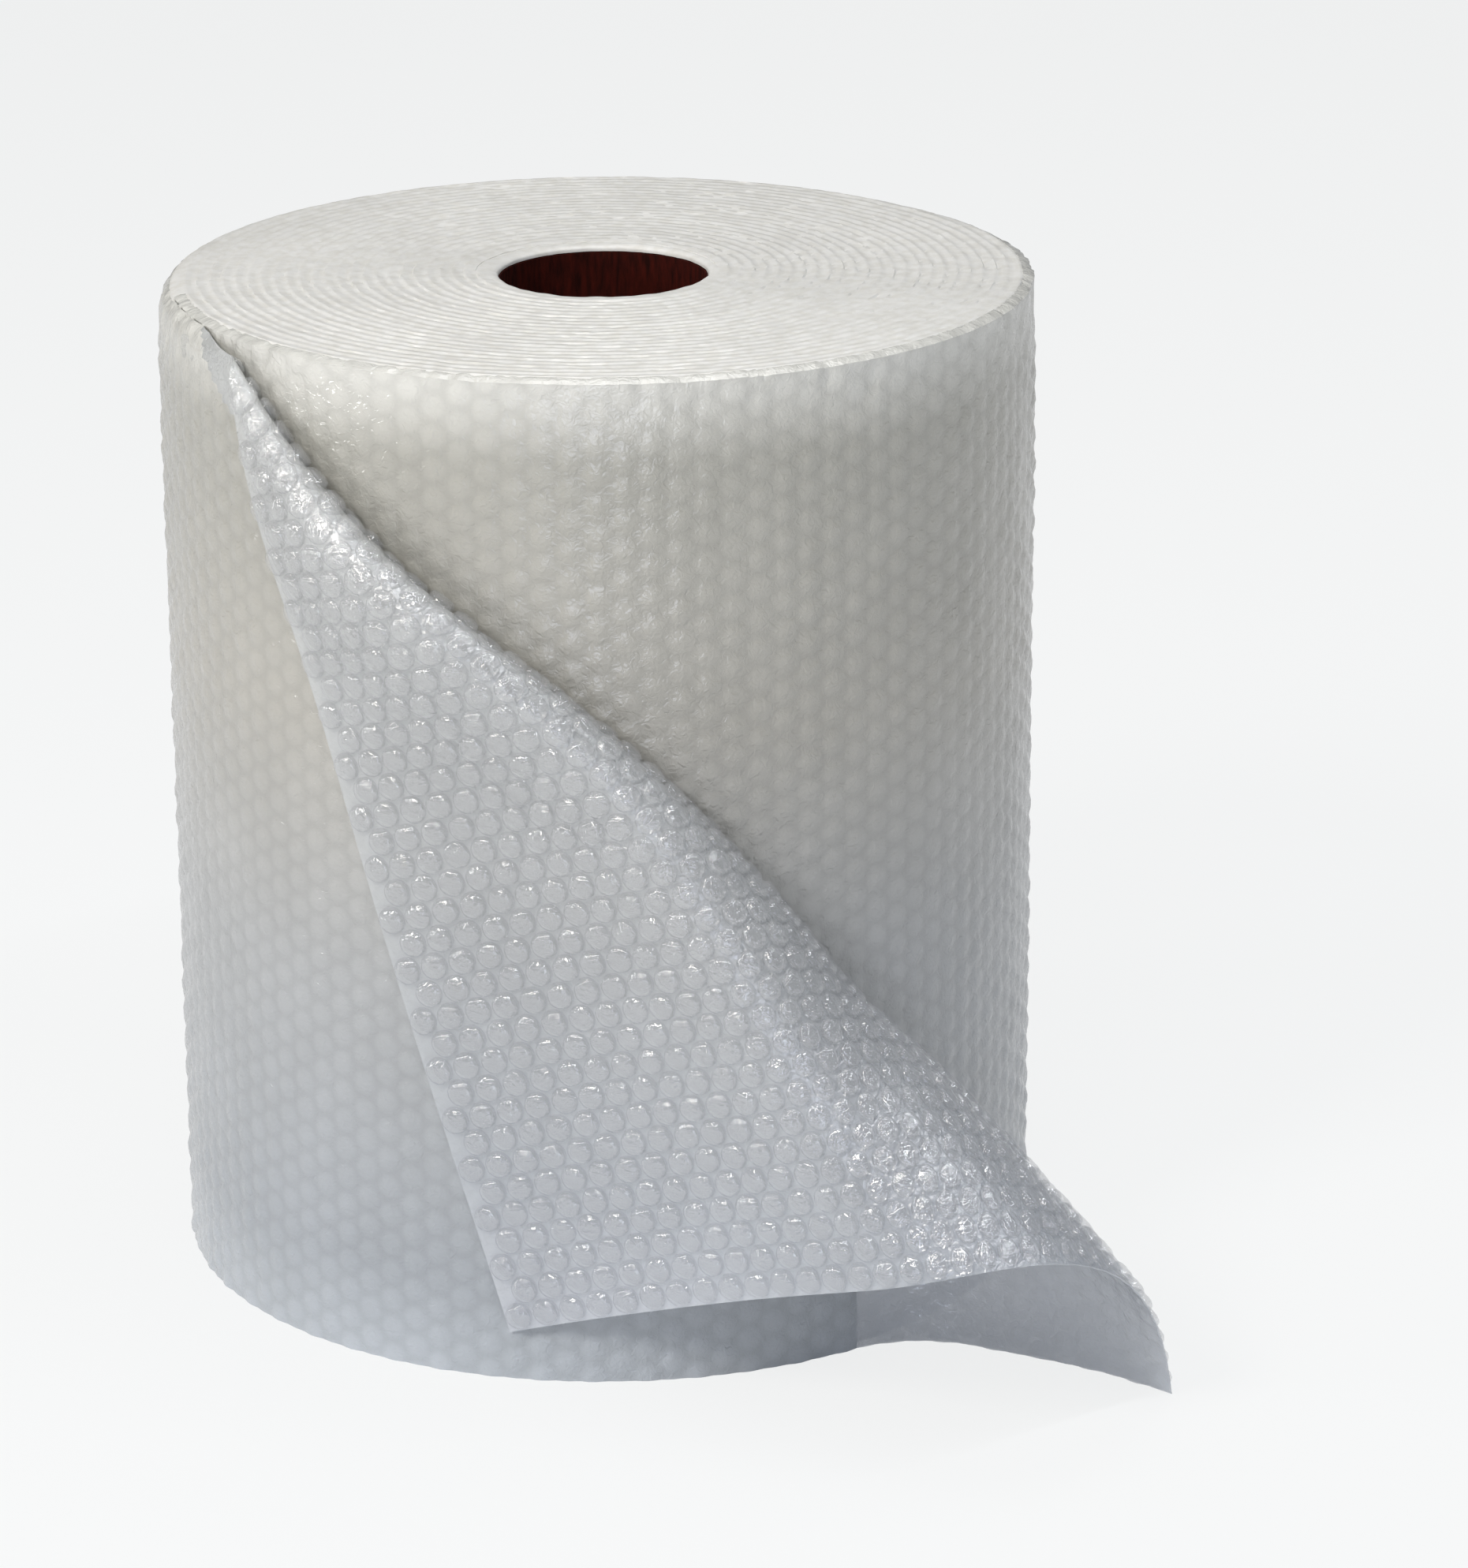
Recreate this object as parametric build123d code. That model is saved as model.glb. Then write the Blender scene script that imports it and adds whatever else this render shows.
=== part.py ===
from build123d import *
import math
import os

# A roll of bubble film that stands on its end. All lengths are in millimetres and
# all angles in degrees. The roll's axis is the Z axis, the floor is Z = 0, and the
# front of the roll, where the loose end lies, faces -Y.

# The cardboard tube
bore_radius = 38.0
core_wall = 4.0
core_recess = 3.0

# The wound film
film_width = 371.0
film_thickness = 4.1
turn_gap = 0.55
front_turns = 26
shoulder_radius = 10.0
lap_clearance = 0.5

# The loose end, which leaves the roll at the right and is folded back over its front
edge_crimp = 6.0
floor_trim = 3.0
loose_start_angle = -62.0
splice_length = 5.0
splice_step = 0.1
fold_top_angle = -50.4
fold_angle = 36.3
fold_radius = 9.0
fold_relax_length = 35.0
corner_height = 19.0
flap_clearance = 0.8
flap_leave_angle = -18.0
flap_bend_radius = 560.0
tail_leave_angle = 33.0
tail_bend_radius = 46.0
tail_turn_angle = 59.0

# How closely the loose film's surface is worked out
grid_step = 6.0
grid_tolerance = 0.1

# Sizes that follow
core_radius = bore_radius + core_wall
layer_pitch = film_thickness + turn_gap
roll_radius = core_radius + (front_turns - 1) * layer_pitch + film_thickness
loose_thickness = film_thickness - 2 * splice_step
loose_width = film_width - edge_crimp
base_radius = roll_radius - splice_step
flap_radius = roll_radius + flap_clearance
fold = math.radians(fold_angle)
fold_top = base_radius * math.radians(fold_top_angle)
flap_leave = base_radius * math.radians(flap_leave_angle)
tail_leave = base_radius * math.radians(tail_leave_angle)
loose_start = base_radius * math.radians(loose_start_angle)
cut_end = fold_top + (loose_width - corner_height) / math.sin(2 * fold)


def half_turn(index, offset):
    # Half turns across the front are centred on the axis. Half turns round the back
    # are centred half a pitch to the left, so each one meets the next tangentially.
    radius = core_radius + index * layer_pitch / 2 + offset
    centre = 0.0 if index % 2 == 0 else -layer_pitch / 2
    start = 180.0 if index % 2 == 0 else 0.0
    return CenterArc((centre, 0), radius, start, 180.0)


def wound_turns():
    # The section of the film is one strip between an inner and an outer spiral. It
    # ends across the front of the last turn, inside the start of the loose end.
    last = 2 * (front_turns - 1)
    end_arc = loose_start + splice_length
    end_angle = 90.0 + math.degrees(end_arc / base_radius)
    inner = [half_turn(index, 0.0) for index in range(last)]
    outer = [half_turn(index, film_thickness) for index in range(last)]
    inner.append(CenterArc((0, 0), roll_radius - film_thickness, 180.0, end_angle))
    outer.append(CenterArc((0, 0), roll_radius, 180.0, end_angle))
    start_edge = Line(inner[0] @ 0, outer[0] @ 0)
    end_edge = Line(inner[-1] @ 1, outer[-1] @ 1)
    section = make_face(Wire([start_edge] + outer + [end_edge] + inner))
    return extrude(section, amount=film_width)


def shoulder_half(outer_radius):
    # Everything outside the soft rounded top edge, round the half at the back
    low = film_width - shoulder_radius
    high = film_width + shoulder_radius
    inside = outer_radius - shoulder_radius
    reach = outer_radius + shoulder_radius
    corner = CenterArc((inside, low), shoulder_radius, 0, 90)
    corners = [(inside, film_width), (inside, high), (reach, high), (reach, low), (outer_radius, low)]
    profile = make_face([corner, *Polyline(*corners).edges()])
    return revolve(Plane.XZ * profile, axis=Axis.Z, revolution_arc=180.0)


def shoulder_cutter():
    # The rounding follows the film, so each half is centred where its turns are
    front = Rot(0, 0, 180) * shoulder_half(roll_radius)
    back = Pos(-layer_pitch / 2, 0, 0) * shoulder_half(roll_radius - layer_pitch / 2)
    return front, back


def core_lap():
    # The innermost turn of film leans over the end of the tube
    height = core_recess - lap_clearance
    front = half_turn(0, film_thickness / 2)
    back = half_turn(1, film_thickness / 2)
    plate = extrude(make_face(Wire([front, back, Line(back @ 1, front @ 0)])), amount=height)
    plate -= Cylinder(bore_radius + lap_clearance, 3 * height)
    return Pos(0, 0, film_width - height) * plate


def follow(arc, radius, leave, bend_radius, turn):
    # Plan curve: round the roll as far as leave, then along an arc that bends away
    # from the roll by the given turn, then straight on
    on_roll = min(arc, leave) / base_radius
    heading = leave / base_radius
    bent = min(max(arc - leave, 0.0) / bend_radius, turn)
    straight = max(arc - leave - bend_radius * turn, 0.0)
    x = radius * math.sin(on_roll)
    y = -radius * math.cos(on_roll)
    x += bend_radius * (math.sin(heading) - math.sin(heading - bent))
    y -= bend_radius * (math.cos(heading) - math.cos(heading - bent))
    x += straight * math.cos(heading - turn)
    y += straight * math.sin(heading - turn)
    return Vector(x, y, 0)


def base_point(arc):
    return follow(arc, base_radius, tail_leave, tail_bend_radius, math.radians(tail_turn_angle))


def flap_point(arc):
    return follow(arc, flap_radius, flap_leave, flap_bend_radius, math.pi)


def curl_radius(arc):
    # The fold's curl fills the space between the base sheet and the flap
    half_gap = (flap_point(arc) - base_point(arc)).length / 2
    return math.hypot(fold_radius, half_gap)


def film_point(arc, height):
    # The smooth side of the loose film. Up to the fold it stands on the base curve,
    # round the fold it follows a curl, and past that it lies mirrored on the flap curve.
    across = (arc - fold_top) * math.sin(fold) + (height - loose_width) * math.cos(fold)
    along = (arc - fold_top) * math.cos(fold) - (height - loose_width) * math.sin(fold)
    fold_arc = fold_top + along * math.cos(fold)
    radius = curl_radius(fold_arc)
    half = math.pi * radius / 2
    turn = min(max(across / radius, -math.pi / 2), math.pi / 2)
    if across < -half:
        reach = across
    elif across > half:
        reach = -across
    else:
        reach = radius * math.cos(turn) - half
    fold_gap = (flap_point(fold_arc) - base_point(fold_arc)).length
    relax = math.exp(-((max(across - half, 0.0) / fold_relax_length) ** 2))
    place = fold_arc + reach * math.sin(fold)
    base = base_point(place)
    gap = flap_point(place) - base
    lift = (2 * radius - fold_gap) * relax
    rise = (1 + math.sin(turn)) / 2 * (gap.length + lift)
    spot = base + gap.normalized() * rise
    level = loose_width - along * math.sin(fold) + reach * math.cos(fold)
    return Vector(spot.X, spot.Y, level)


def loose_end():
    # The smooth side of the rectangle of loose film, worked out on an even grid. The
    # film's thickness then goes towards the roll on the base and outwards on the flap.
    columns = math.ceil((cut_end - loose_start) / grid_step)
    rows = math.ceil((loose_width + floor_trim) / grid_step)
    arcs = [loose_start + (cut_end - loose_start) * i / columns for i in range(columns + 1)]
    heights = [(loose_width + floor_trim) * j / rows - floor_trim for j in range(rows + 1)]
    grid = [[film_point(arc, height) for height in heights] for arc in arcs]
    smooth_side = Face.make_surface_from_array_of_points(grid, tol=grid_tolerance, min_deg=3)
    return Solid.thicken(smooth_side, -loose_thickness)


def floor_cutter():
    # The bottom edge of the loose film is trimmed level with the floor
    depth = 4 * floor_trim
    return Pos(0, 0, -depth / 2) * Cylinder(2 * roll_radius, depth)


def bubble_film():
    film = wound_turns() + core_lap()
    for cutter in shoulder_cutter():
        film = film - cutter
    film = film + loose_end()
    return film - floor_cutter()


def core_tube():
    length = film_width - core_recess
    tube = Cylinder(core_radius, length) - Cylinder(bore_radius, length)
    return Pos(0, 0, length / 2) * tube


os.makedirs("parts", exist_ok=True)
parts = {"bubble_film": bubble_film(), "core_tube": core_tube()}
for name, solid in parts.items():
    solid.label = name
    export_step(solid, f"parts/{name}.step")
    print(name, len(solid.solids()), round(solid.volume), solid.bounding_box())
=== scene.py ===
# A roll of bubble film standing on its end, with its loose end folded over the front.
# All lengths are in metres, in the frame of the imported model: the roll's axis is Z,
# the floor is Z = 0 and the front of the roll faces -Y.
import math

import bpy
import numpy as np
from mathutils import Matrix, Vector


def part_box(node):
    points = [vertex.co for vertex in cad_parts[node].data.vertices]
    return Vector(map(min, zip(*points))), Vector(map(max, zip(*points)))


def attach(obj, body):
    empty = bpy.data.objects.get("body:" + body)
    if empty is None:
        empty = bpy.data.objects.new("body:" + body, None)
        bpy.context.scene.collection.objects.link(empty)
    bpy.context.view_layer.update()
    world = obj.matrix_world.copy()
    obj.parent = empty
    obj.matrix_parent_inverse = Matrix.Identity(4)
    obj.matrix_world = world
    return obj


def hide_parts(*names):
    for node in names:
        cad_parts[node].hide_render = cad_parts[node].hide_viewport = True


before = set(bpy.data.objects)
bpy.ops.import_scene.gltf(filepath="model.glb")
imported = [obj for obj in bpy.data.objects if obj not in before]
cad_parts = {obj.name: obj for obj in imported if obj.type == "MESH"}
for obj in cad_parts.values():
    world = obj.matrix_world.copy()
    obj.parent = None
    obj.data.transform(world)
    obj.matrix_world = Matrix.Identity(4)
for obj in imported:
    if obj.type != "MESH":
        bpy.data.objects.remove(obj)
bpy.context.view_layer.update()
tubeLow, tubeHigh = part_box("core_tube")
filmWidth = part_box("bubble_film")[1][2]  # the height of its top edge above the floor


# How the film is wound

roll = {
    "coreRadius": (tubeHigh[0] - tubeLow[0]) / 2,
    "width": filmWidth,
    "film": 0.0041,  # thickness over the bubbles
    "pitch": 0.00465,  # from one turn to the next
    "turns": 26,  # counted across the front
    "shoulder": 0.010,  # rounding of the top edge
    "eased": math.radians(50),  # round the back, where the rounding moves out to the next turn
}
outerRadius = roll["coreRadius"] + (roll["turns"] - 1) * roll["pitch"] + roll["film"]
lastHalf = 2 * (roll["turns"] - 1)  # number of the half turn that ends under the loose film


# inner side of a half turn: the core's radius and half a pitch more for each half turn
def halfRadius(half):
    return roll["coreRadius"] + half * roll["pitch"] / 2


# plan point: half circles about the axis across the front, and about a point half a pitch to
# the left round the back, so that each half turn meets the next one tangentially
def woundPlace(wind, depth):
    half = np.floor(wind / math.pi + 1e-9)
    centre = np.where(half % 2 == 0, 0.0, -roll["pitch"] / 2)
    radius = halfRadius(half) + roll["film"] - depth
    return centre - radius * np.cos(wind), -radius * np.sin(wind)


# rises from 0 at low to 1 at high, as 3 t^2 - 2 t^3
def smooth(value, low, high):
    t = np.clip((value - low) / (high - low), 0.0, 1.0)
    return t * t * (3 - 2 * t)


# how far a turn's smooth side lies inside the roll's rounded top edge, in plan: half a pitch
# for each half turn outside it, and a pitch more that fades out round the back
def edgeDepth(wind):
    half = np.floor(wind / math.pi + 1e-9)
    outermost = np.where(half % 2 == 0, lastHalf, lastHalf - 1)
    back = np.mod(wind - math.pi, 2 * math.pi)
    carried = roll["pitch"] * (1 - smooth(back, 0.0, roll["eased"])) * (back < math.pi)
    return (outermost - half) * roll["pitch"] / 2 + carried


# height of the top edge: a quarter circle that the depth runs across, and level inside it
def topLevel(depth):
    inside = np.clip(roll["shoulder"] - depth, 0.0, roll["shoulder"])
    return roll["width"] - roll["shoulder"] + np.sqrt(roll["shoulder"] ** 2 - inside ** 2)


# The loose end, drawn flat first and then folded over an inclined line

loose = {
    "width": 0.365,
    "sheet": 0.00045,  # thickness of the film between the bubbles
    "step": 0.0001,  # how far its smooth side lies inside the roll's
    "top": math.radians(-50.4),  # where the fold starts at the top edge
    "fold": math.radians(36.3),  # slope of the fold, below the level
    "foldStart": 0.0016,  # radius of the fold at the top edge, where it is pressed flat
    "foldRadius": 0.009,  # and where it has opened out
    "foldOpens": (-0.03, 0.11),  # between these places along the fold
    "relax": 0.035,  # how far past the fold the flap stands off
    "corner": 0.019,  # height of the flap's lowest corner
    "flapGap": 0.0008,
    "flapLeave": math.radians(-18.0),
    "flapBend": 0.560,
    "tailLeave": math.radians(33.0),
    "tailBend": 0.046,
    "tailTurn": math.radians(59.0),
    "straightens": (math.radians(-64), math.radians(-52)),  # its top edge leaves the rounding
    "hem": 0.006,  # plain strip along the top edge, without the swell of the bubbles
    "innerSwell": 0.5,  # share of the smooth side's swell that its other side follows
    "pressed": -0.022,  # as near to the fold as the film still lies on the roll
}
baseRadius = outerRadius - loose["step"]
flapRadius = outerRadius + loose["flapGap"]
foldTop = baseRadius * loose["top"]
tailStart = baseRadius * loose["tailLeave"]
cutEnd = foldTop + (loose["width"] - loose["corner"]) / math.sin(2 * loose["fold"])

# arc length along the smooth side, zero at the front centre, against the winding angle: the
# sum of half circles, each as long as its radius times pi
windAngles = np.array([lastHalf - 2, lastHalf - 1, lastHalf, lastHalf + 1]) * math.pi
windArcs = np.zeros(4)
windArcs[2] = -baseRadius * math.pi / 2
windArcs[1] = windArcs[2] - (halfRadius(lastHalf - 1) + roll["film"]) * math.pi
windArcs[0] = windArcs[1] - (halfRadius(lastHalf - 2) + roll["film"]) * math.pi
windArcs[3] = baseRadius * math.pi / 2


# plan curve: round the roll as far as leave, then an arc that bends away, then straight on
def follow(arc, radius, leave, bendRadius, turn):
    onRoll = np.minimum(arc, leave) / baseRadius
    heading = leave / baseRadius
    bent = np.minimum(np.maximum(arc - leave, 0.0) / bendRadius, turn)
    straight = np.maximum(arc - leave - bendRadius * turn, 0.0)
    x = radius * np.sin(onRoll) + bendRadius * (math.sin(heading) - np.sin(heading - bent))
    y = -radius * np.cos(onRoll) - bendRadius * (math.cos(heading) - np.cos(heading - bent))
    return np.stack([x + straight * math.cos(heading - turn),
                     y + straight * math.sin(heading - turn)], axis=-1)


# the film that stands on the roll and then leaves it at the right
def basePlace(arc):
    leaving = follow(arc, baseRadius, tailStart, loose["tailBend"], loose["tailTurn"])
    wound = np.stack(woundPlace(np.interp(arc, windArcs, windAngles), loose["step"]), axis=-1)
    return np.where((arc < windArcs[2])[..., None], wound, leaving)


# the film that is folded back over the front
def flapPlace(arc):
    return follow(arc, flapRadius, baseRadius * loose["flapLeave"], loose["flapBend"], math.pi)


# distance of a place on the flat film from the fold's line, negative below it
def acrossFold(arc, height):
    fold = loose["fold"]
    return (arc - foldTop) * math.sin(fold) + (height - loose["width"]) * math.cos(fold)


# smooth side of the loose film: below the fold it stands on the base curve, round the fold it
# follows a half circle, and past that it lies mirrored on the flap curve
def loosePlace(arc, height):
    fold = loose["fold"]
    across = acrossFold(arc, height)
    along = (arc - foldTop) * math.cos(fold) - (height - loose["width"]) * math.sin(fold)
    foldArc = foldTop + along * math.cos(fold)
    foldGap = np.linalg.norm(flapPlace(foldArc) - basePlace(foldArc), axis=-1)
    opened = smooth(along, *loose["foldOpens"])
    slack = loose["foldStart"] + (loose["foldRadius"] - loose["foldStart"]) * opened
    radius = np.hypot(slack, foldGap / 2)
    half = math.pi * radius / 2
    turn = np.clip(across / radius, -math.pi / 2, math.pi / 2)
    reach = np.where(across < -half, across, radius * np.cos(turn) - half)
    reach = np.where(across > half, -across, reach)
    relax = np.exp(-(np.maximum(across - half, 0.0) / loose["relax"]) ** 2)
    place = foldArc + reach * math.sin(fold)
    base = basePlace(place)
    gap = flapPlace(place) - base
    gapLength = np.linalg.norm(gap, axis=-1)
    rise = (1 + np.sin(turn)) / 2 * (gapLength + (2 * radius - foldGap) * relax)
    plan = base + gap / gapLength[..., None] * rise[..., None]
    level = loose["width"] - along * math.sin(fold) + reach * math.cos(fold)
    return np.concatenate([plan, level[..., None]], axis=-1)


# unit normals on the smooth side: the cross product of small steps along and up the film
def filmNormals(arc, height):
    step = 0.0004
    along = loosePlace(arc + step, height) - loosePlace(arc - step, height)
    up = loosePlace(arc, height + step) - loosePlace(arc, height - step)
    normal = np.cross(along, up)
    return normal / np.linalg.norm(normal, axis=-1)[..., None]


# The pattern of bubbles: rows run up the roll, and every other row is shifted by half a pitch.
# The film was cut just past a whole row, and slit just past the whole bubbles at the top.

bubble = {
    "pitch": 0.011,
    "row": 0.011 * math.sqrt(3) / 2,
    "radius": 0.0052,
    "height": 0.0029,
    "toEdge": 0.0056,  # from the last bubbles' middles to the cut and to the slit edge
    "quilt": 0.0011,  # how far the smooth side swells over a bubble
    "swell": (0.0010, 0.0058),  # full inside the first radius, gone outside the second
    "mean": 0.8,  # the share of the swell that is there on average
    "varies": 0.35,  # and how much it varies from place to place
    "waves": (4, 9, 60, 260),
}
bubble["fromArc"] = (cutEnd - bubble["toEdge"]) % (2 * bubble["row"])
bubble["fromFloor"] = (loose["width"] - bubble["toEdge"]) % bubble["pitch"]


# distance along the film to the middle of the nearest bubble, over both sets of rows
def bubbleDistance(arc, height):
    distances = []
    for shift in (0.0, 0.5):
        along = (arc - bubble["fromArc"]) / bubble["row"] / 2
        along = (np.mod(along + 0.5 + shift, 1.0) - 0.5) * 2 * bubble["row"]
        up = (height - bubble["fromFloor"]) / bubble["pitch"]
        up = (np.mod(up + 0.5 + shift, 1.0) - 0.5) * bubble["pitch"]
        distances.append(np.hypot(along, up))
    return np.minimum(*distances)


# soft uneven waves, about -1 to 1: a sum of count sines of random direction and wavelength,
# with low to high radians to the metre
def ripple(a, b, seed, count, low, high):
    draw = np.random.default_rng(seed)
    total = np.zeros(np.broadcast(a, b).shape)
    for _ in range(count):
        direction, phase = draw.uniform(0, 2 * math.pi, 2)
        waves = draw.uniform(low, high)
        total = total + np.sin(waves * (a * math.cos(direction) + b * math.sin(direction)) + phase)
    return total / math.sqrt(count) / 1.5  # the sum seldom goes past 1.5 times that root


# swell of the smooth side: full over a bubble, sunk between, uneven from place to place
def quilting(arc, height):
    swell = 1 - smooth(bubbleDistance(arc, height), *bubble["swell"])
    share = bubble["mean"] + bubble["varies"] * ripple(arc, height, *bubble["waves"])
    return bubble["quilt"] * swell * share


# Meshes

grid = {
    "columnsPerRow": 4,  # columns of the mesh to each row of bubbles
    "rowStep": 0.00275,
    "straightRows": 130,
    "roundRows": 4,  # over the rounding of the top edge
}


# an object from points and faces; uv gives each point's place on the flat film
def makeMesh(name, points, faces, uv=None, sharp=40.0):
    data = bpy.data.meshes.new(name)
    data.from_pydata(points.reshape(-1, 3), [], faces)
    data.shade_smooth()
    data.set_sharp_from_angle(angle=math.radians(sharp))
    if uv is not None:
        corners = np.empty(len(data.loops), dtype=np.int32)
        data.loops.foreach_get("vertex_index", corners)
        layer = data.uv_layers.new(name="film")
        layer.data.foreach_set("uv", uv.reshape(-1, 2)[corners].astype(np.float32).ravel())
    data.validate()
    data.update()
    made = bpy.data.objects.new(name, data)
    bpy.context.scene.collection.objects.link(made)
    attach(made, "root")
    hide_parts("bubble_film")
    print(name, len(data.vertices), "points")
    return made


# quads between the columns of a grid of points, whose last row is joined to its first
def gridFaces(columns, rows):
    column, row = np.meshgrid(np.arange(columns - 1), np.arange(rows), indexing="ij")
    after = (row + 1) % rows
    quads = np.stack([column * rows + row, (column + 1) * rows + row,
                      (column + 1) * rows + after, column * rows + after], axis=-1)
    return quads.reshape(-1, 4)


# a turn's levels, from the floor to the top, and the share of the rounding that each has passed
straight = np.arange(grid["straightRows"] + 1) * grid["rowStep"]
rounding = np.arange(1, grid["roundRows"] + 1) / grid["roundRows"]
rowLevels = np.concatenate([straight, np.full(grid["roundRows"], straight[-1])])
rowRounding = np.concatenate([np.zeros(len(straight)), rounding])


# The turn that shows on the roll's side

outer = {
    "seam": math.radians(-100.0),  # where the loose film's mesh takes over from the turn's
    "start": math.radians(-78.0),  # where the turn under it comes into the mesh
    "stretchFrom": 0.30,  # above this level the rows are stretched to meet the rounding
    "rim": (0.026, 0.008),  # this far below the top the bubbles give way to crimps
    "crimp": 0.0011,
    "crimpWaves": (21, 9, 240, 900),
    "drawnOut": 0.5,  # the crimps run up the roll, and are longer that way by its inverse
    "sinks": 0.6,  # the top edge sinks by this share of a crimp
    "inside": np.array([0.97, 0.5, 0.0]),  # levels of the side turned to the core, as shares
}
seamArc = np.interp((lastHalf + 0.5) * math.pi + outer["seam"], windAngles, windArcs)
seamArc = (math.floor((seamArc - bubble["fromArc"]) / bubble["row"]) + 0.5) * bubble["row"]
seamArc += bubble["fromArc"]


# smooth side of a turn: the winding's plan point less the swell and the crimps, with the top
# edge rounded over onto the roll's end, and how far up the flat film each place lies
def woundSide(arc):
    wind = np.interp(arc, windArcs, windAngles)[:, None]
    depth = rowRounding[None, :] * roll["film"]
    inside = edgeDepth(wind)
    reach = topLevel(inside) - straight[-1]
    level = rowLevels[None, :]
    level = level + reach * smooth(level, outer["stretchFrom"], straight[-1])
    level = np.where(rowRounding[None, :] > 0, topLevel(inside + depth), level)
    up = level + depth
    rim = smooth(level, *(roll["width"] - np.array(outer["rim"])))
    swell = quilting(arc[:, None], up) * (1 - rim)
    crimp = np.abs(ripple(arc[:, None], level * outer["drawnOut"], *outer["crimpWaves"]))
    crimp = crimp * rim * outer["crimp"]
    x, y = woundPlace(wind, depth - swell + crimp)
    return np.stack([x, y, level - crimp * outer["sinks"]], axis=-1), up


# a closed strip as thick as the film and its bubbles: the smooth side, then down the inside
def outerTurn():
    start = np.interp((lastHalf - 1.5) * math.pi + outer["start"], windAngles, windArcs)
    count = round((seamArc - start) / bubble["row"] * grid["columnsPerRow"])
    arc = seamArc + (np.arange(count + 1) - count) * bubble["row"] / grid["columnsPerRow"]
    outside, up = woundSide(arc)
    wind = np.interp(arc, windArcs, windAngles)[:, None]
    inside = topLevel(edgeDepth(wind) + roll["film"]) * outer["inside"]
    x, y = woundPlace(wind + np.zeros_like(inside), roll["film"])
    points = np.concatenate([outside, np.stack([x, y, inside], axis=-1)], axis=1)
    rows = points.shape[1]
    uv = np.stack([np.repeat(arc[:, None], rows, axis=1), np.concatenate([up, inside], axis=1)],
                  axis=-1)
    last = (len(arc) - 1) * rows
    ends = [list(range(rows)), list(range(last, last + rows))[::-1]]
    return makeMesh("outerTurn", points, gridFaces(len(arc), rows).tolist() + ends, uv)


# The last turn's film, the fold and the flap, as one thin closed sheet: the smooth side, and
# the bubble side at the film's thickness below it. Its second material is for where it stands
# free of the roll and lets light through.
def looseSheet():
    count = round((cutEnd - seamArc) / bubble["row"] * grid["columnsPerRow"])
    arc = np.linspace(seamArc, cutEnd, count + 1)
    height = rowLevels + rowRounding * (loose["width"] - straight[-1])
    flat, height = np.meshgrid(arc, height, indexing="ij")
    # towards the fold the top edge comes out of its rounding and stands straight
    free = smooth(arc, *(baseRadius * np.array(loose["straightens"])))[:, None, None]
    normal = filmNormals(flat, height)
    hem = smooth(height, loose["width"] - loose["hem"], loose["width"])
    swell = (quilting(flat, height) * (1 - hem))[..., None]
    loosened = loosePlace(flat, height) + normal * swell
    outside = woundSide(arc)[0] * (1 - free) + loosened * free
    inner = outside - normal * (loose["sheet"] + swell * loose["innerSwell"])
    points = np.concatenate([outside, inner[:, ::-1]], axis=1)
    points[..., 2] = np.maximum(points[..., 2], 0.0)
    rows = points.shape[1]
    uv = np.stack([flat, height], axis=-1)
    uv = np.concatenate([uv, uv[:, ::-1]], axis=1)
    # each end is closed by quads between the two sides' facing rows
    near = np.arange(rows // 2 - 1)
    end = np.stack([near, near + 1, rows - 2 - near, rows - 1 - near], axis=-1)
    faces = np.concatenate([gridFaces(len(arc), rows), end, end[:, ::-1] + (len(arc) - 1) * rows])
    made = makeMesh("looseSheet", points, faces.tolist(), uv)
    place = uv.reshape(-1, 2)[faces[:, 0]]
    pressed = (acrossFold(*place.T) < loose["pressed"]) & (place[:, 0] < tailStart)
    made.data.polygons.foreach_set("material_index", np.where(pressed, 0, 1).astype(np.int32))
    return made


# The domes on the loose film's bubble side

blister = {
    "seed": 11,
    "sides": 16,
    "rings": np.array([1.0, 0.97, 0.88, 0.68, 0.38]),  # radii, as shares of the bubble's
    "rises": np.array([0.0, 0.32, 0.66, 0.89, 0.98]),  # heights, as shares of the bubble's
    "foot": 0.0001,  # how deep the foot is sunk in the film
    "margin": 0.0018,  # no bubble has its middle nearer to an edge
    "edge": 0.0006,  # no dome's side comes nearer to an edge
    "slack": 0.12,  # share of the bubbles that have lost air
    "slackHeight": (0.55, 0.8),
    "fullHeight": (0.88, 1.0),
    "cutHeight": 0.7,  # share of its height that a bubble keeps where the edge cuts it
    "lean": 0.16,
    "dents": 0.035,
    "dentsAcross": 0.25,  # share of the dents that the outline follows
    "hidden": -0.03,  # behind the film the bubbles are left out as near to the fold as this
    "beforeTail": 0.02,  # and up to this far before it leaves the roll
    "topEdge": 0.03,  # but not along this much of its top edge
    "topEdgeFrom": math.radians(-66),
}


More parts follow.
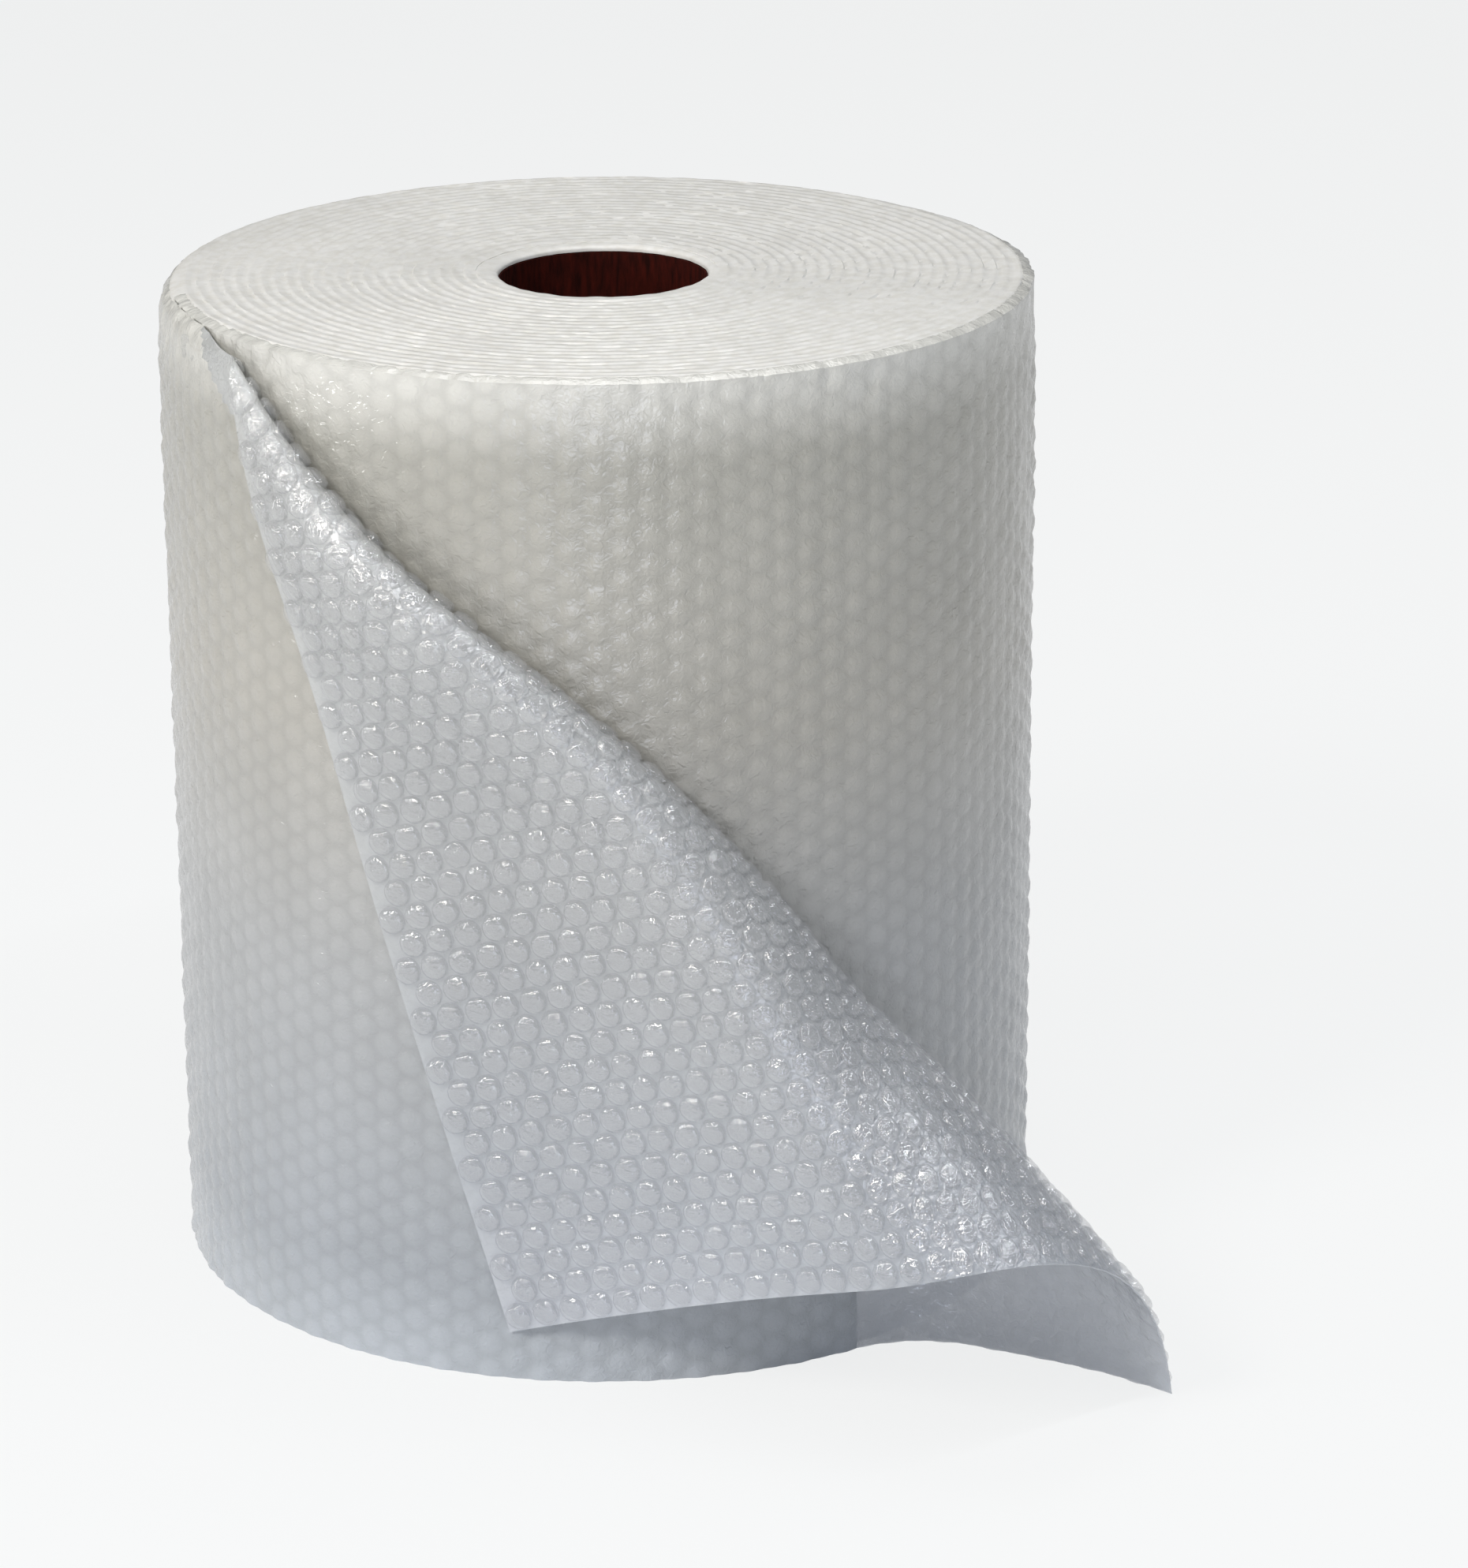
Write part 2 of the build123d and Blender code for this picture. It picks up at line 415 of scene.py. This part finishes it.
# rings of shrinking radius round each middle, from a foot sunk in the film to a low crown,
# each a little uneven, and closed underneath; all bubbles are worked out at once
def looseBubbles():
    sides, rings = blister["sides"], len(blister["rings"])
    draw = np.random.default_rng(blister["seed"])
    firstRow = math.ceil((seamArc - bubble["fromArc"] + blister["margin"]) / bubble["row"])
    lastRow = math.floor((cutEnd - bubble["fromArc"] - blister["margin"]) / bubble["row"])
    places = np.arange(-1, math.ceil(loose["width"] / bubble["pitch"]) + 1)
    row, place = np.meshgrid(np.arange(firstRow, lastRow + 1), places, indexing="ij")
    arc = (bubble["fromArc"] + row * bubble["row"]).ravel()
    height = (bubble["fromFloor"] + (place + 0.5 * (row % 2)) * bubble["pitch"]).ravel()
    # what is pressed between the film and the roll can't be seen, apart from the top edge
    hidden = acrossFold(arc, height) < blister["hidden"]
    hidden &= arc < tailStart - blister["beforeTail"]
    topEdge = height > loose["width"] - blister["topEdge"]
    topEdge &= arc > baseRadius * blister["topEdgeFrom"]
    shown = (height > blister["margin"]) & (height < loose["width"] - blister["margin"])
    shown &= ~hidden | topEdge
    arc, height = arc[shown], height[shown]
    number = len(arc)
    full = np.where(draw.random(number) < blister["slack"],
                    draw.uniform(*blister["slackHeight"], number),
                    draw.uniform(*blister["fullHeight"], number))
    # a bubble that the edge cuts through has lost most of its air
    toEdge = np.minimum(np.minimum(height, loose["width"] - height), cutEnd - arc)
    full = np.where(toEdge < bubble["radius"], full * blister["cutHeight"], full)
    lean = draw.uniform(0, blister["lean"], number)[:, None, None]
    leanTo = draw.uniform(0, 2 * math.pi, number)[:, None, None]
    dents = draw.normal(0, blister["dents"], (number, rings, sides))
    angle = np.arange(sides) / sides * 2 * math.pi
    share = blister["rings"][None, :, None]
    radius = bubble["radius"] * share * (1 + blister["dentsAcross"] * dents)
    tilt = 1 + lean * np.cos(angle - leanTo) * share
    crown = bubble["height"] * full[:, None]
    rise = crown[..., None] * blister["rises"][None, :, None] * tilt * (1 + dents)
    rise[:, 0] = -blister["foot"]
    ringArc = arc[:, None, None] + radius * np.cos(angle)
    ringArc = np.minimum(ringArc, cutEnd - blister["edge"])
    ringUp = height[:, None, None] + radius * np.sin(angle)
    ringUp = np.clip(ringUp, blister["edge"], loose["width"] - blister["edge"])
    flatArc = np.concatenate([ringArc.reshape(number, -1), arc[:, None]], axis=1)
    flatUp = np.concatenate([ringUp.reshape(number, -1), height[:, None]], axis=1)
    rise = np.concatenate([rise.reshape(number, -1), crown], axis=1) + loose["sheet"]
    points = loosePlace(flatArc, flatUp) - filmNormals(flatArc, flatUp) * rise[..., None]
    perBubble = points.shape[1]
    side = np.arange(sides)
    after = (side + 1) % sides
    ring = np.arange(rings - 1)[:, None] * sides
    walls = np.stack([ring + side, ring + sides + side, ring + sides + after, ring + after],
                     axis=-1).reshape(-1, 4)
    topRing = (rings - 1) * sides
    crowns = np.stack([topRing + side, np.full(sides, perBubble - 1), topRing + after], axis=-1)
    base = (np.arange(number) * perBubble)[:, None, None]
    faces = (walls + base).reshape(-1, 4).tolist()
    faces += (crowns + base).reshape(-1, 3).tolist()
    faces += (side + base[:, 0]).tolist()
    print("bubbles:", number)
    uv = np.stack([flatArc, flatUp], axis=-1)
    return makeMesh("looseBubbles", points, faces, uv, sharp=60.0)


# The wound turns behind the outer one, seen from the ends

turns = {
    "perTurn": 420,
    "columns": np.array([0.0, 0.0016, 0.0031, 0.0041]),  # across a turn, up to its smooth side
    "depths": np.array([0.00035, 0.0002, 0.0001, 0.0]),  # how low each of them lies at the top
    "crimp": 0.00025,
    "lumps": (0.6, 0.8),  # shares of those depths between the lumps, and more on them
    "beat": 37,  # radians to the metre, over which the lumps come and go
    "broadWaves": (7, 12, 60, 420),
    "fineWaves": (9, 8, 90, 700),
    "fine": 0.8,  # height of the fine waves against the broad ones
    "fineAcross": 9,  # how much closer they follow each other across a turn
}


# top of the spiral strip: four columns across each turn, low at the bubble side and high at
# the smooth side, with lumps where the rows of bubbles end and soft uneven crimps
def stripPoints():
    perTurn = turns["perTurn"]
    steps = math.floor(((lastHalf - 1.5) * math.pi + outer["start"]) / 2 / math.pi * perTurn)
    wind, across = np.meshgrid(np.arange(steps + 1 + perTurn) / perTurn * 2 * math.pi,
                               turns["columns"], indexing="ij")
    x, y = woundPlace(wind, roll["film"] - across)
    arc = np.cumsum(np.hypot(np.diff(x, axis=0, prepend=x[:1]), np.diff(y, axis=0, prepend=y[:1])),
                    axis=0)
    beat = np.sin(arc * turns["beat"])
    lumps = 0.5 + 0.5 * np.cos(2 * math.pi * arc / bubble["row"]) * beat
    low = turns["depths"] * (turns["lumps"][0] + turns["lumps"][1] * lumps)
    fine = ripple(arc, across * turns["fineAcross"], *turns["fineWaves"])
    crimp = ripple(x, y, *turns["broadWaves"]) + turns["fine"] * fine
    level = topLevel(edgeDepth(wind) + roll["film"] - across) - low
    return steps, np.stack([x, y, level - np.abs(crimp) * turns["crimp"]], axis=-1)


# the spiral strip on top and a flat one underneath, each turn of the strip joined to the next,
# with a wall down the tube and one behind the outer turn
def woundTurns():
    steps, top = stripPoints()
    perTurn, columns = turns["perTurn"], len(turns["columns"])
    bottom = top * np.array([1.0, 1.0, 0.0])
    count = top.shape[0] * columns

    # number of a point; the strip's last column is the next turn's first one
    def at(step, column):
        return (step + column // columns * perTurn) * columns + column % columns

    strip, part = np.meshgrid(np.arange(steps), np.arange(columns), indexing="ij")
    quads = np.stack([at(strip, part), at(strip, part + 1), at(strip + 1, part + 1),
                      at(strip + 1, part)], axis=-1).reshape(-1, 4)
    first, last = np.arange(perTurn + 1), np.arange(steps - perTurn, steps + 1)
    back = np.arange(columns - 1, 0, -1)
    inner = np.concatenate([at(first, 0), at(0, back)])
    outside = np.concatenate([at(last, columns), at(steps, back)])
    nextInner, nextOutside = np.roll(inner, -1), np.roll(outside, -1)
    faces = np.concatenate([
        quads, quads[:, ::-1] + count,
        np.stack([inner, nextInner, nextInner + count, inner + count], axis=-1),
        np.stack([outside, outside + count, nextOutside + count, nextOutside], axis=-1)])
    used, faces = np.unique(faces, return_inverse=True)
    points = np.concatenate([top.reshape(-1, 3), bottom.reshape(-1, 3)])[used]
    return makeMesh("woundTurns", points, faces.reshape(-1, 4).tolist(), sharp=50.0)


# The first turn's edge, which leans over the end of the tube

lap = {
    "steps": 256,
    "radius": 0.0384,  # of the hole it leaves
    "meets": 0.6,  # share of the first turn's thickness that lies outside where it ends
    "uneven": 0.0004,
    "unevenWaves": (31, 9, 3, 22),  # here in radians to the radius
    "rise": 0.0022,
    "wave": 0.0003,
    "waves": (33, 9, 20, 160),
    "waveSpan": (0.2, 0.1),  # metres round it to a radian, and across its whole section
    "gap": 0.0003,  # between it and the tube
    "across": np.array([0.0, 0.0, 0.06, 0.2, 0.5, 1.0, 1.0]),  # from the hole to the turns
    "section": np.array([0.0, 0.45, 0.75, 0.92, 1.0, 0.9, 0.0]),  # shares of the rise
}


# a closed ring whose section rises in a soft curve from the hole to the turns and comes back
# flat over the tube's end
def coreLap():
    count, across, section = lap["steps"], lap["across"], lap["section"]
    angle = np.arange(count) / count * 2 * math.pi
    x, y = woundPlace(np.mod(angle - math.pi, 2 * math.pi), roll["film"] * lap["meets"])
    turn = np.hypot(x, y)
    uneven = np.abs(ripple(np.cos(angle), np.sin(angle), *lap["unevenWaves"]))
    hole = lap["radius"] + lap["uneven"] * uneven
    radius = hole[:, None] + (turn - hole)[:, None] * across
    wave = ripple(angle[:, None] * lap["waveSpan"][0], across * lap["waveSpan"][1],
                  *lap["waves"])
    level = tubeHigh[2] + lap["gap"] + (lap["rise"] + lap["wave"] * wave) * section
    points = np.stack([radius * np.cos(angle)[:, None], radius * np.sin(angle)[:, None], level],
                      axis=-1)
    faces = gridFaces(count + 1, len(across)) % (count * len(across))
    return makeMesh("coreLap", points, faces[:, ::-1].tolist(), sharp=60.0)


# Materials

# sRGB hex to the linear colour that the shaders take
def linear(colour):
    parts = [int(colour[i:i + 2], 16) / 255 for i in (1, 3, 5)]
    parts = [p / 12.92 if p <= 0.04045 else ((p + 0.055) / 1.055) ** 2.4 for p in parts]
    return (*parts, 1.0)


# adds a shader node with its settings, its sockets' values and links, and a ramp's stops
def addNode(tree, kind, settings=None, values=None, links=None, stops=()):
    made = tree.nodes.new("ShaderNode" + kind)
    for name, value in (settings or {}).items():
        setattr(made, name, value)
    for name, value in (values or {}).items():
        made.inputs[name].default_value = value
    for name, socket in (links or {}).items():
        tree.links.new(socket, made.inputs[name])
    for _ in range(2, len(stops)):
        made.color_ramp.elements.new(0.5)
    for number, (place, colour) in enumerate(stops):
        made.color_ramp.elements[number].position = place
        made.color_ramp.elements[number].color = linear(colour)
    return made


def newMaterial(name):
    made = bpy.data.materials.new(name)
    made.use_nodes = True
    made.node_tree.nodes.clear()
    return made, made.node_tree


# distance to the nearest bubble's middle, in millimetres, from the place on the flat film
def latticeNodes(tree, uv):
    shifted = addNode(tree, "VectorMath", {"operation": "SUBTRACT"},
                      {1: (bubble["fromArc"], bubble["fromFloor"], 0)}, {0: uv})
    scaled = addNode(tree, "VectorMath", {"operation": "MULTIPLY"},
                     {1: (1 / bubble["row"] / 2, 1 / bubble["pitch"], 0)},
                     {0: shifted.outputs[0]})
    distances = []
    for shift in (0.5, 1.0):
        moved = addNode(tree, "VectorMath", {"operation": "ADD"}, {1: (shift, shift, 0)},
                        {0: scaled.outputs[0]})
        part = addNode(tree, "VectorMath", {"operation": "FRACTION"}, {}, {0: moved.outputs[0]})
        centred = addNode(tree, "VectorMath", {"operation": "SUBTRACT"}, {1: (0.5, 0.5, 0)},
                          {0: part.outputs[0]})
        real = addNode(tree, "VectorMath", {"operation": "MULTIPLY"},
                       {1: (2000 * bubble["row"], 1000 * bubble["pitch"], 0)},
                       {0: centred.outputs[0]})
        distances.append(addNode(tree, "VectorMath", {"operation": "LENGTH"}, {},
                                 {0: real.outputs[0]}).outputs["Value"])
    return addNode(tree, "Math", {"operation": "MINIMUM"}, {},
                   {0: distances[0], 1: distances[1]}).outputs[0]


# one film three ways: cell is its colour from a bubble's middle outwards, painted darker towards
# the seals as shade between the bubbles, tone its patches, lift the light and shade painted into
# its colour up the roll, wrinkle and crease its bump far from the fold and along it, and coatIor
# is raised where one glossy layer stands for the several of a bubble
film = {
    "seal": 6.4,  # mm from a bubble's middle to the middle of the seal between three bubbles
    "patches": 70,  # mm
    "wrinkles": 2.3,  # mm; the real ones are finer still and wouldn't show
    "depth": 0.0009,
    "creaseMiddle": 0.022,  # the film is creased most this far past the fold's line
    "creaseReach": (0.008, 0.055),  # the creases are full, and gone, this far from there
}
filmLooks = {
    "pressed": {
        "sealShade": [(0.0, "#ebebea"), (0.5, "#e9e9e8"), (0.82, "#e0e0df")],
        "tone": [(0.3, "#ebebe9"), (0.7, "#fdfdfc")],
        "lift": [(0.0, "#d2d9e3"), (0.1, "#b8bec7"), (0.4, "#bfc1c4"), (0.65, "#c7c4bd"),
                 (0.92, "#c5c3bb"), (0.985, "#f6f5f0")],
        "roughness": 0.42, "coat": 1.0, "shine": 0.08, "coatIor": 1.6,
        "wrinkle": 0.5, "crease": 0.5, "alpha": 1.0,
    },
    "free": {
        "sealShade": [(0.0, "#e7e9eb"), (0.6, "#e6e8ea"), (0.85, "#e3e5e8")],
        "tone": [(0.3, "#ecedee"), (0.7, "#fbfcfd")],
        "lift": [(0.0, "#f1f4f9"), (0.09, "#f0f2f7"), (0.2, "#e1e4e8"), (0.5, "#e4e4e2"),
                 (0.97, "#f2f1ec")],
        "roughness": 0.35, "coat": 1.0, "shine": 0.07, "coatIor": 2.2,
        "wrinkle": 0.55, "crease": 1.0, "alpha": 0.74,
    },
    "blister": {
        "sealShade": [(0.0, "#ebecee"), (0.6, "#e9eaed"), (0.8, "#e6e8eb")],
        "tone": [(0.3, "#eeeff0"), (0.7, "#fbfcfd")],
        "lift": [(0.0, "#e1e4ea"), (0.5, "#e6e6e5"), (0.97, "#f4f3ef")],
        "roughness": 0.25, "coat": 1.0, "shine": 0.05, "coatIor": 3.4,
        "wrinkle": 0.7, "crease": 1.0, "alpha": 0.26,
    },
}


# Low-density polythene, blown and laminated over bubbles: milky where many layers lie under it,
# glossy, with fine wrinkles round every seal that catch the light in sparks. Light and shade are
# painted into its colour up the roll: whiter near the top edge, for the light that falls on the
# rounding and comes in through the ends of the layers, and darker and bluer low down in shade. The
# pressed and free film are painted lighter again just above the floor. Shade is painted in too,
# darker towards the seals between the bubbles.
def blownFilm(name, look):
    made, tree = newMaterial(name)
    uv = addNode(tree, "UVMap", {"uv_map": "film"}).outputs["UV"]
    position = addNode(tree, "TexCoord").outputs["Object"]
    patches = addNode(tree, "TexNoise", {},
                      {"Scale": 1000 / film["patches"], "Detail": 6.0, "Roughness": 0.72},
                      {"Vector": position})
    wrinkles = addNode(tree, "TexNoise", {},
                       {"Scale": 1000 / film["wrinkles"], "Detail": 2.5, "Distortion": 0.8},
                       {"Vector": position})
    share = addNode(tree, "Math", {"operation": "DIVIDE"}, {1: film["seal"]},
                    {0: latticeNodes(tree, uv)})
    level = addNode(tree, "SeparateXYZ", links={0: position}).outputs["Z"]
    upTheRoll = addNode(tree, "Math", {"operation": "DIVIDE"}, {1: roll["width"]}, {0: level})
    # painted shade: the colour darkens from a bubble's middle towards the seals between the
    # bubbles
    sealShade = addNode(tree, "ValToRGB", links={"Fac": share.outputs[0]}, stops=look["sealShade"])
    tone = addNode(tree, "ValToRGB", links={"Fac": patches.outputs["Fac"]}, stops=look["tone"])
    # painted light and shade by height: whiter at the top edge, darker and bluer low down, lighter
    # again just above the floor for the pressed and free film
    lift = addNode(tree, "ValToRGB", links={"Fac": upTheRoll.outputs[0]}, stops=look["lift"])
    colour = sealShade.outputs[0]
    for layer in (tone, lift):
        colour = addNode(tree, "Mix", {"data_type": "RGBA", "blend_type": "MULTIPLY"}, {0: 1.0},
                         {6: colour, 7: layer.outputs[0]}).outputs[2]
    # the wrinkles fade with the distance from the fold's line, which is a dot product
    slope = (math.sin(loose["fold"]), math.cos(loose["fold"]), 0)
    foldLine = foldTop * slope[0] + loose["width"] * slope[1] + film["creaseMiddle"]
    toFold = addNode(tree, "VectorMath", {"operation": "DOT_PRODUCT"}, {1: slope}, {0: uv})
    past = addNode(tree, "Math", {"operation": "SUBTRACT"}, {1: foldLine},
                   {0: toFold.outputs["Value"]})
    away = addNode(tree, "Math", {"operation": "ABSOLUTE"}, {}, {0: past.outputs[0]})
    crease = addNode(tree, "MapRange", {"interpolation_type": "SMOOTHSTEP"},
                     {"From Min": film["creaseReach"][0], "From Max": film["creaseReach"][1],
                      "To Min": look["crease"], "To Max": look["wrinkle"]},
                     {"Value": away.outputs[0]})
    bump = addNode(tree, "Bump", {}, {"Distance": film["depth"]},
                   {"Height": wrinkles.outputs["Fac"], "Strength": crease.outputs["Result"]})
    shader = addNode(tree, "BsdfPrincipled", {},
                     {"Roughness": look["roughness"], "IOR": 1.51, "Coat Weight": look["coat"],
                      "Coat Roughness": look["shine"], "Coat IOR": look["coatIor"],
                      "Alpha": look["alpha"]},
                     {"Base Color": colour, "Normal": bump.outputs[0],
                      "Coat Normal": bump.outputs[0]})
    addNode(tree, "OutputMaterial", links={"Surface": shader.outputs[0]})
    return made


slitEdge = {
    "tone": [(0.3, "#dcdbd7"), (0.7, "#e5e4e0")],
    "speck": [(0.35, "#f6f5f2"), (0.6, "#ffffff")],
    "patches": 45,  # mm
    "specks": 4,  # mm, about the width of a turn
    "roughness": 0.5,
}


# Polythene film seen edge on, layer upon layer, slit on the machine: whiter than the side,
# because the light goes in between the layers and comes back out.
def cutEdges():
    made, tree = newMaterial("slitPolytheneEdges")
    position = addNode(tree, "TexCoord").outputs["Object"]
    patches = addNode(tree, "TexNoise", {}, {"Scale": 1000 / slitEdge["patches"], "Detail": 4.0},
                      {"Vector": position})
    specks = addNode(tree, "TexNoise", {}, {"Scale": 1000 / slitEdge["specks"], "Detail": 2.0},
                     {"Vector": position})
    tone = addNode(tree, "ValToRGB", links={"Fac": patches.outputs["Fac"]},
                   stops=slitEdge["tone"])
    speck = addNode(tree, "ValToRGB", links={"Fac": specks.outputs["Fac"]},
                    stops=slitEdge["speck"])
    colour = addNode(tree, "Mix", {"data_type": "RGBA", "blend_type": "MULTIPLY"}, {0: 1.0},
                     {6: tone.outputs[0], 7: speck.outputs[0]}).outputs[2]
    bump = addNode(tree, "Bump", {}, {"Strength": 0.15, "Distance": 0.0006},
                   {"Height": specks.outputs["Fac"]})
    shader = addNode(tree, "BsdfPrincipled", {},
                     {"Roughness": slitEdge["roughness"], "IOR": 1.51, "Coat Weight": 0.2,
                      "Coat Roughness": 0.2},
                     {"Base Color": colour, "Normal": bump.outputs[0]})
    addNode(tree, "OutputMaterial", links={"Surface": shader.outputs[0]})
    return made


board = {
    # painted shade: the kraft's brown darkened for the inside of the tube
    "tone": [(0.3, "#220704"), (0.7, "#421109")],
    "fibres": 2,  # mm across, and four times as long up the tube
    "roughness": 0.9,
}


# Spiral-wound brown kraft board: matt and fibrous. Its colour is painted much darker than the
# board's own brown, as painted shade for the little light that gets into the tube.
def kraftBoard():
    made, tree = newMaterial("woundKraftBoard")
    position = addNode(tree, "TexCoord").outputs["Object"]
    fibres = addNode(tree, "Mapping", {}, {"Scale": (1, 1, 0.25)}, {"Vector": position})
    grain = addNode(tree, "TexNoise", {}, {"Scale": 1000 / board["fibres"], "Detail": 3.0},
                    {"Vector": fibres.outputs[0]})
    tone = addNode(tree, "ValToRGB", links={"Fac": grain.outputs["Fac"]}, stops=board["tone"])
    bump = addNode(tree, "Bump", {}, {"Strength": 0.3, "Distance": 0.0004},
                   {"Height": grain.outputs["Fac"]})
    shader = addNode(tree, "BsdfPrincipled", {},
                     {"Roughness": board["roughness"], "Specular IOR Level": 0.12},
                     {"Base Color": tone.outputs[0], "Normal": bump.outputs[0]})
    addNode(tree, "OutputMaterial", links={"Surface": shader.outputs[0]})
    return made


pressedFilm = blownFilm("blownPolythenePressed", filmLooks["pressed"])
freeFilm = blownFilm("blownPolytheneFree", filmLooks["free"])
blisterFilm = blownFilm("blownPolytheneBlister", filmLooks["blister"])
edgeFilm = cutEdges()
boardFinish = kraftBoard()
print("materials made")

for piece, finishes in ((outerTurn(), [pressedFilm]), (looseSheet(), [pressedFilm, freeFilm]),
                        (looseBubbles(), [blisterFilm]), (woundTurns(), [edgeFilm]),
                        (coreLap(), [edgeFilm])):
    for finish in finishes:
        piece.data.materials.append(finish)
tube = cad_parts["core_tube"]
if not tube.material_slots:
    tube.data.materials.append(boardFinish)
for slotOfTube in tube.material_slots:
    slotOfTube.material = boardFinish
print("film and tube dressed")


# Floor, light and camera

studio = {
    "floor": 14.0,  # metres across
    "paper": "#e9eaeb",
    "backdrop": "#f9fafa",
    "shown": 0.86,  # share of the floor that the camera sees as plain backdrop, without shadow
    "mirrored": 0.55,  # share of that in reflections
    "sky": "#f1f4f8",
    "skyPower": 0.16,
    "aim": (0.0, 0.0, 0.18),
    "lamps": {
        "keyLight": {"place": (-1.5, -1.8, 2.1), "size": (0.7, 0.7), "power": 43.0,
                     "colour": "#fffaf3"},
        "windowLight": {"place": (-2.3, -0.75, 0.75), "size": (0.5, 0.5), "power": 12.0,
                        "colour": "#ffffff"},
        # a long narrow lamp over the front, which the creases along the fold mirror
        "stripLight": {"place": (0.6, -0.85, 2.15), "size": (2.9, 0.07), "power": 23.0,
                       "colour": "#f7faff"},
        "lowLight": {"place": (-0.1, -2.6, 0.3), "size": (1.0, 1.0), "power": 9.5,
                     "colour": "#e6edff"},
        "topLight": {"place": (0.1, 0.6, 2.6), "size": (1.4, 1.4), "power": 16.0,
                     "colour": "#ffffff"},
    },
}


# pale matt paper: the camera and reflections see it near white, with the roll's soft shadow
def floorMaterial():
    made, tree = newMaterial("paleFloor")
    path = addNode(tree, "LightPath")
    mirrored = addNode(tree, "Math", {"operation": "MULTIPLY"}, {1: studio["mirrored"]},
                       {0: path.outputs["Is Glossy Ray"]})
    seen = addNode(tree, "Math", {"operation": "MAXIMUM"}, {},
                   {0: path.outputs["Is Camera Ray"], 1: mirrored.outputs[0]})
    seen = addNode(tree, "Math", {"operation": "MAXIMUM"}, {},
                   {0: seen.outputs[0], 1: path.outputs["Is Transmission Ray"]})
    share = addNode(tree, "Math", {"operation": "MULTIPLY"}, {1: studio["shown"]},
                    {0: seen.outputs[0]})
    matt = addNode(tree, "BsdfDiffuse", {}, {"Color": linear(studio["paper"])})
    glow = addNode(tree, "Emission", {}, {"Color": linear(studio["backdrop"]), "Strength": 1.0})
    mixed = addNode(tree, "MixShader", {}, {}, {0: share.outputs[0], 1: matt.outputs[0],
                                                2: glow.outputs[0]})
    addNode(tree, "OutputMaterial", links={"Surface": mixed.outputs[0]})
    return made


def buildStudio():
    half = studio["floor"] / 2
    data = bpy.data.meshes.new("floor")
    data.from_pydata([(-half, -half, 0), (half, -half, 0), (half, half, 0), (-half, half, 0)],
                     [], [(0, 1, 2, 3)])
    data.materials.append(floorMaterial())
    floor = bpy.data.objects.new("floor", data)
    bpy.context.scene.collection.objects.link(floor)
    for name, lamp in studio["lamps"].items():
        light = bpy.data.lights.new(name, "AREA")
        light.shape = "RECTANGLE"
        light.size, light.size_y = lamp["size"]
        light.energy = lamp["power"]
        light.color = linear(lamp["colour"])[:3]
        holder = bpy.data.objects.new(name, light)
        holder.location = lamp["place"]
        away = Vector(lamp["place"]) - Vector(studio["aim"])
        holder.rotation_euler = away.to_track_quat("Z", "Y").to_euler()
        bpy.context.scene.collection.objects.link(holder)
    world = bpy.data.worlds.new("studio")
    world.use_nodes = True
    tree = world.node_tree
    tree.nodes.clear()
    path = addNode(tree, "LightPath")
    soft = addNode(tree, "Background", {},
                   {"Color": linear(studio["sky"]), "Strength": studio["skyPower"]})
    white = addNode(tree, "Background", {},
                    {"Color": linear(studio["backdrop"]), "Strength": 1.0})
    mixed = addNode(tree, "MixShader", {}, {}, {0: path.outputs["Is Camera Ray"],
                                                1: soft.outputs[0], 2: white.outputs[0]})
    addNode(tree, "OutputWorld", links={"Surface": mixed.outputs[0]})
    bpy.context.scene.world = world


camera = {
    "place": (0.0468, -2.0455, 0.8743),
    "down": 18.964,  # degrees below the level
    "roll": -0.329,
    "lens": 131.66,  # mm, on a frame that is 36 mm along the picture's long side
    "frame": 36.0,
    "sees": 60.0,  # metres
}


def placeCamera():
    data = bpy.data.cameras.new("camera")
    data.lens = camera["lens"]
    data.sensor_width = camera["frame"]
    data.clip_end = camera["sees"]
    made = bpy.data.objects.new("camera", data)
    bpy.context.scene.collection.objects.link(made)
    made.matrix_world = (Matrix.Translation(camera["place"])
                         @ Matrix.Rotation(math.radians(90 - camera["down"]), 4, "X")
                         @ Matrix.Rotation(math.radians(camera["roll"]), 4, "Z"))
    bpy.context.scene.camera = made


buildStudio()
placeCamera()
bpy.context.scene.view_settings.view_transform = "Standard"
print("studio and camera set")
